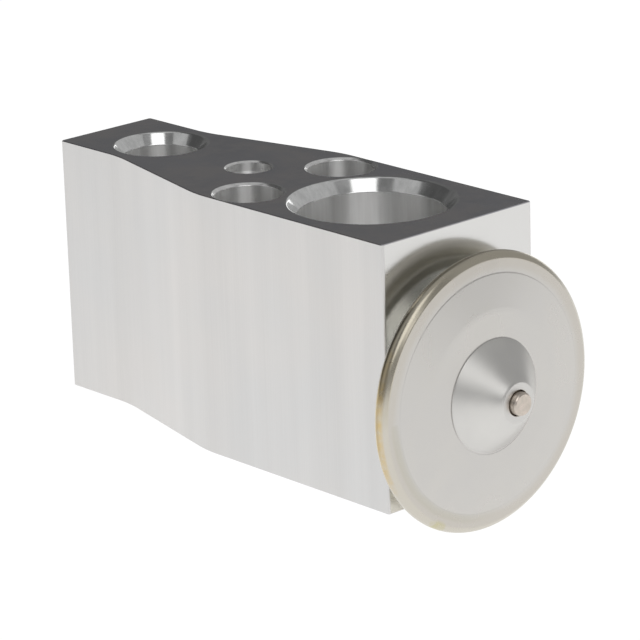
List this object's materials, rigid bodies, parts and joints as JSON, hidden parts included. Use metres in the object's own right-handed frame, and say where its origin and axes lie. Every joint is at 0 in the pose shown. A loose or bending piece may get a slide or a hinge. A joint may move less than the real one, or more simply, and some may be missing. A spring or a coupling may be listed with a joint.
{
  "type": "thermostatic expansion valve",
  "caption": "Block-type air-conditioning expansion valve: aluminium block with pipe ports and bolt holes, round welded thermal head, sliding rod with ball, and adjusting screw.",
  "frame": {"origin": "point on the lower port face (the one with the outlet port), midway between the two bolt holes", "axes": "+X along the rod's axis towards the head; +Z out of the upper port face, the one with the liquid inlet port; +Y completes a right-handed frame across the block"},
  "size_m": [0.0789, 0.036, 0.0391],
  "materials": {
    "milled_aluminium": "extruded sides with fine drawing lines, milled end and port faces",
    "head_steel": "pressed sheet, satin, straw and brown heat tint along the weld",
    "plug_steel": "cut wire end, slightly warm",
    "turned_steel": "turned, bright",
    "spring_steel": "drawn wire and strip",
    "seal_rubber": "matt",
    "screw_brass": "turned, unplated"
  },
  "bodies": {
    "valve_body": {"valve_block": "milled_aluminium", "head_cover": "head_steel", "head_base": "head_steel", "charge_plug": "plug_steel", "diaphragm": "spring_steel", "head_seal_ring": "seal_rubber", "rod_seal_ring": "seal_rubber", "seal_retainer": "spring_steel", "superheat_spring": "spring_steel"},
    "valve_train": {"diaphragm_stopper": "turned_steel", "operating_rod": "turned_steel", "valve_ball": "turned_steel", "ball_support": "turned_steel", "damping_spring": "spring_steel"},
    "screw_seal": {"adjuster_seal_ring": "seal_rubber"},
    "screw": {"adjusting_screw": "screw_brass"}
  },
  "joints": [
    {"name": "valve_closing", "type": "slide", "parent": "valve_body", "child": "valve_train", "axis": [1, 0, 0], "range_m": [0, 0.0008], "stiffness_N_per_m": 5000, "deforming": ["superheat_spring", "diaphragm"]},
    {"name": "adjuster_travel", "type": "slide", "parent": "valve_body", "child": "screw_seal", "axis": [1, 0, 0], "range_m": [-0.0005, 0.0005]},
    {"name": "adjuster_turn", "type": "hinge", "parent": "screw_seal", "child": "screw", "pos_m": [-0.0375, 0, 0.0137], "axis": [1, 0, 0], "range_deg": [-180, 180]}
  ],
  "couplings": [
    {"joint": "adjuster_turn", "follows": "adjuster_travel", "rad_per_m": 6283.2}
  ]
}
